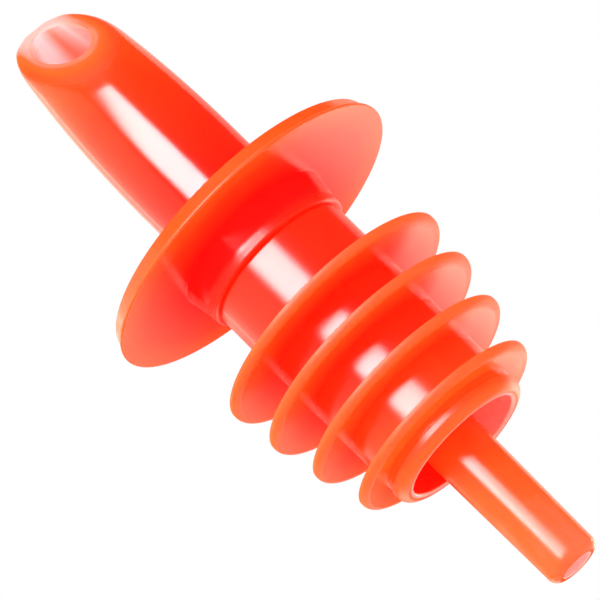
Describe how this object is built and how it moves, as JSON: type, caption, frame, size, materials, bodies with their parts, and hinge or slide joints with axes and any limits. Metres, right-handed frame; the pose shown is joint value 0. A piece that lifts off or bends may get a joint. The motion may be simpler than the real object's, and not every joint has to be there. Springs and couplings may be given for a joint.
{
  "type": "liquor pourer",
  "caption": "Free-flow liquor pourer: tapered spout with a slant-cut mouth, a wide collar, a finned cork that seals a bottle's neck, and a breather tube that lets air in as the drink flows out.",
  "frame": {"origin": "on the pourer's axis, in the plane where the collar's hub stands on the top of the cork", "axes": "+Z along the axis towards the spout's tip, +X towards the long side of the slanted mouth, which is also the side that the breather tube is set off to"},
  "size_m": [0.03, 0.03, 0.0683],
  "materials": {
    "spout": "glossy translucent neon red moulding",
    "collar": "glossy translucent neon red moulding",
    "cork": "glossy flexible translucent neon red moulding",
    "breather_tube": "glossy translucent neon red moulding"
  },
  "bodies": {
    "cork": {"cork": "cork"},
    "collar": {"collar": "collar"},
    "spout": {"spout": "spout"},
    "breather_tube": {"breather_tube": "breather_tube"}
  },
  "joints": [
    {"name": "cork_pull", "type": "slide", "parent": "cork", "child": "collar", "axis": [0, 0, 1], "range_m": [0, 0.04]},
    {"name": "spout_swivel", "type": "hinge", "parent": "collar", "child": "spout", "pos_m": [0, 0, 0.0047], "axis": [0, 0, 1], "continuous": true},
    {"name": "tube_pull", "type": "slide", "parent": "spout", "child": "breather_tube", "axis": [0, 0, -1], "range_m": [0, 0.04]}
  ]
}
